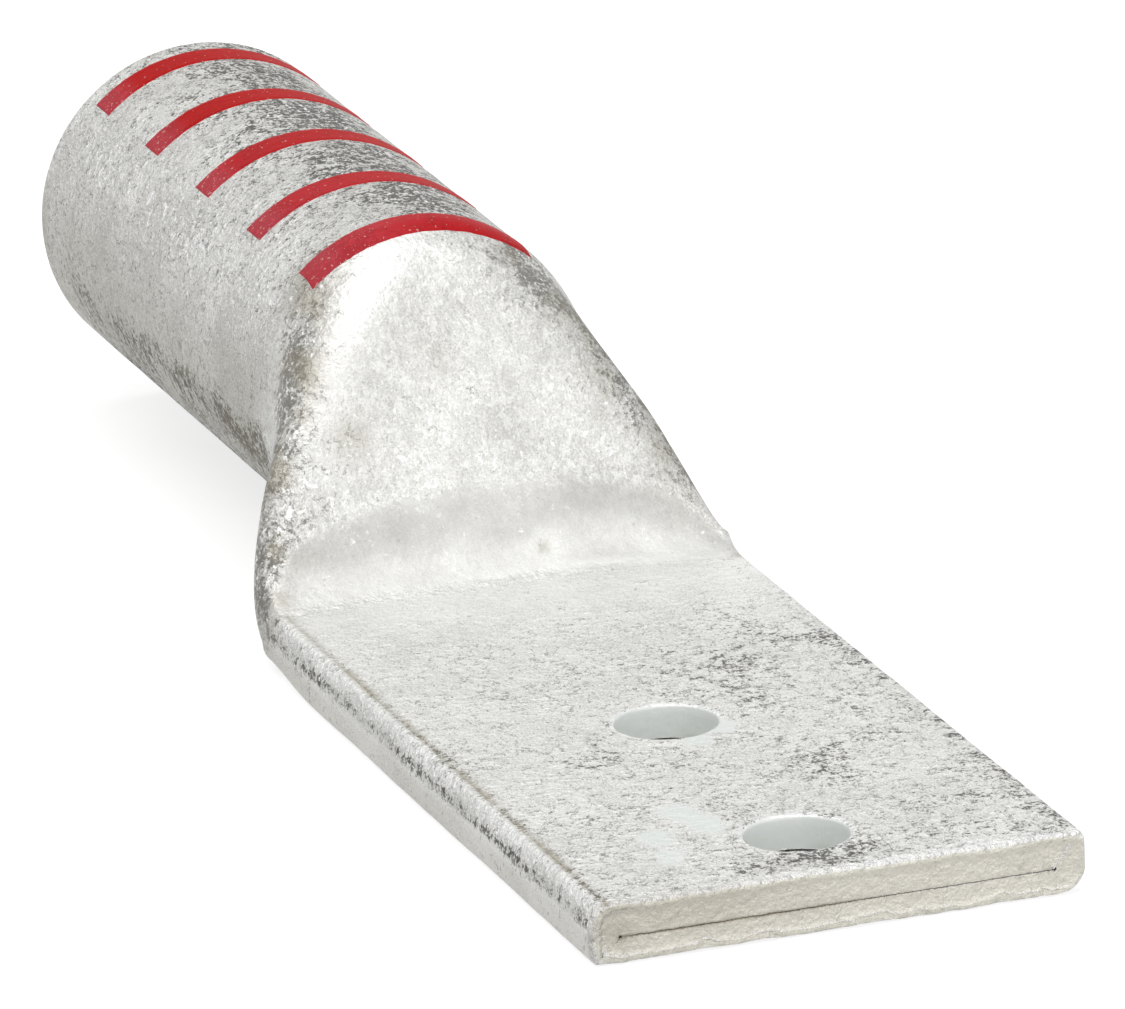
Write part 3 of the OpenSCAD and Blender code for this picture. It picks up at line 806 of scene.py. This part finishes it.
# Painted light on the hole walls.
colour = blend_colour(tree, zone["punched"], colour, HOLE_WALL_PAINTED_LIGHT)
colour = blend_colour(tree, maths(tree, "MULTIPLY", zone["wash"], 0.85), colour, WASHED_MINT)
colour = blend_colour(tree, maths(tree, "MULTIPLY", zone["stain"], 0.8), colour, STAIN_BROWN)
roughness = maths(tree, "MULTIPLY_ADD", spark, -0.14, 0.40)
roughness = maths(tree, "MULTIPLY_ADD", grain["Pits"], 0.15, roughness)
relief = maths(tree, "MULTIPLY_ADD", zone["glints"], 1.2, maths(tree, "MULTIPLY_ADD", zone["painted_sparkle"], 0.9, 0.8))
relief = maths(tree, "MULTIPLY", relief, crisp)
bump = put(
    tree,
    "Bump",
    {"Strength": 1.0, "Distance": 0.00028, "Height": maths(tree, "MULTIPLY", grain["Height"], relief)},
)
dull = maths(tree, "MAXIMUM", maths(tree, "MAXIMUM", zone["sheared"], zone["pressed"]), maths(tree, "MULTIPLY", zone["punched"], 3.0))
shader = put(
    tree,
    "BsdfPrincipled",
    {
        "Base Color": colour,
        "Metallic": maths(tree, "MULTIPLY_ADD", dull, -0.18, 0.55),
        "Roughness": roughness,
        "Normal": bump.outputs[0],
    },
)
tree.links.new(shader.outputs[0], out.inputs[0])
body.data.materials.append(tin)


# Colour bands.
# Five bands of red ink printed across the top of the barrel as a code for the crimping die; thin films that follow
# the tin's unevenness, with slightly ragged edges, and thinner where the printing wheel lifted off on the left.
BAND_FIRST, BAND_PITCH, BAND_WIDTH, BAND_COUNT = 3.7, 11.77, 3.1, 5
BAND_FADE = (0.0, 0.0, 0.15, 0.32, 0.60)
BAND_HALF_ANGLE, INK_FILM, INK_ROOT = 42.0, 0.045, -0.02
ROUND_STEPS, WIDE_STEPS = 150, 14


def ink_film(number):
    """One band: a closed loop of points over the film's top and back under it, carried round the barrel.

    Its top stands INK_FILM over the settled skin and falls to the root at both edges. The edges wander by a noise.
    """
    centre_x = MOUTH_X + BAND_FIRST + number * BAND_PITCH
    angles = np.linspace(-BAND_HALF_ANGLE, BAND_HALF_ANGLE, ROUND_STEPS + 1)
    columns = TOP_COL - angles / 90 * QUARTER_COLS
    ride_up = np.linspace(-1, 1, WIDE_STEPS + 1)
    loop = np.concatenate([ride_up, ride_up[::-1]])
    height = np.concatenate([np.where(abs(ride_up) < 0.99, INK_FILM, 0.0), np.full(WIDE_STEPS + 1, INK_ROOT)])
    track = np.array([np.zeros_like(angles), angles, np.zeros_like(angles)]).T
    across, rise = loop[:, None], height[:, None, None]
    track = track[None] * 0.21 + np.stack([3 * across, 0 * across, 0 * across + 9 * number], -1)
    edge = 0.09 * (soft_noise(track, 0.35, 53) - 0.5)
    bases = outside(centre_x + across * (BAND_WIDTH / 2 - 0.03) + edge * abs(across) ** 6, columns[None])
    normals = bases * [0, 1, 1] - [0, 0, AXIS_H]
    normals /= np.linalg.norm(normals, axis=-1, keepdims=True)
    ends = 1 - step(abs(angles), BAND_HALF_ANGLE - 0.5, BAND_HALF_ANGLE)[None, :, None]
    return settled(bases, normals) + normals * np.where(rise > 0, rise * ends, rise), angles


film_points, film_faces, fade = [], [], []
count = 0
for number in range(BAND_COUNT):
    film, angles = ink_film(number)
    loop_len, length = film.shape[:2]
    index = count + np.arange(loop_len * length).reshape(loop_len, length)
    around = np.roll(index, -1, 0)
    film_faces.append(np.stack([index[:, :-1], around[:, :-1], around[:, 1:], index[:, 1:]], -1).reshape(-1, 4))
    half = loop_len // 2
    for end, flip in ((0, True), (length - 1, False)):
        top, low = index[:half, end], index[half:, end][::-1]
        cap = np.stack([top[:-1], top[1:], low[1:], low[:-1]], -1)
        film_faces.append(cap[:, ::-1] if flip else cap)
    film_points.append(film.reshape(-1, 3))
    left_end = 1 - step(angles, -BAND_HALF_ANGLE + 3, -BAND_HALF_ANGLE + 17)
    pale = left_end + BAND_FADE[number] * (1 - 0.7 * step(angles, -22, 12))
    fade.append(np.broadcast_to(pale, (loop_len, length)).ravel())
    count += loop_len * length

ink = mesh_piece("ink_bands", np.concatenate(film_points), np.concatenate(film_faces))
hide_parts("colour_bands")
paint(ink, "fade", np.concatenate(fade))

INK_RED, INK_PALE, INK_FLECK = (0.52, 0.001, 0.001), (0.68, 0.09, 0.12), (0.80, 0.40, 0.36)
INK_DARK = (0.22, 0.004, 0.005)
red, tree, out = new_material("red_ink")
place = put(tree, "TexCoord").outputs["Object"]
thin = put(tree, "Attribute", attribute_name="fade").outputs["Fac"]
grain = grain_node(tree, place, maths(tree, "MULTIPLY_ADD", thin, 0.4, 0.45))
mottled = maths(tree, "MULTIPLY_ADD", grain["Patches"], 0.5, 0.6)
colour = blend_colour(tree, maths(tree, "MULTIPLY", thin, mottled), INK_RED, INK_PALE)
colour = blend_colour(tree, maths(tree, "MULTIPLY", grain["Pits"], 0.35), colour, INK_DARK)
dots = put(tree, "TexNoise", {"Vector": place, "Scale": 3600.0, "Detail": 1.0, "Roughness": 0.4}).outputs[0]
dots = span(tree, maths(tree, "MULTIPLY_ADD", thin, 0.07, dots), 0.715, 0.765)
colour = blend_colour(tree, maths(tree, "MULTIPLY", dots, 0.75), colour, INK_FLECK)
bump = put(tree, "Bump", {"Strength": 0.6, "Distance": 0.00008, "Height": grain["Height"]})
shader = put(
    tree,
    "BsdfPrincipled",
    {"Base Color": colour, "Roughness": 0.50, "IOR": 1.15, "Normal": bump.outputs[0]},
)
tree.links.new(shader.outputs[0], out.inputs[0])
ink.data.materials.append(red)

bpy.context.view_layer.update()
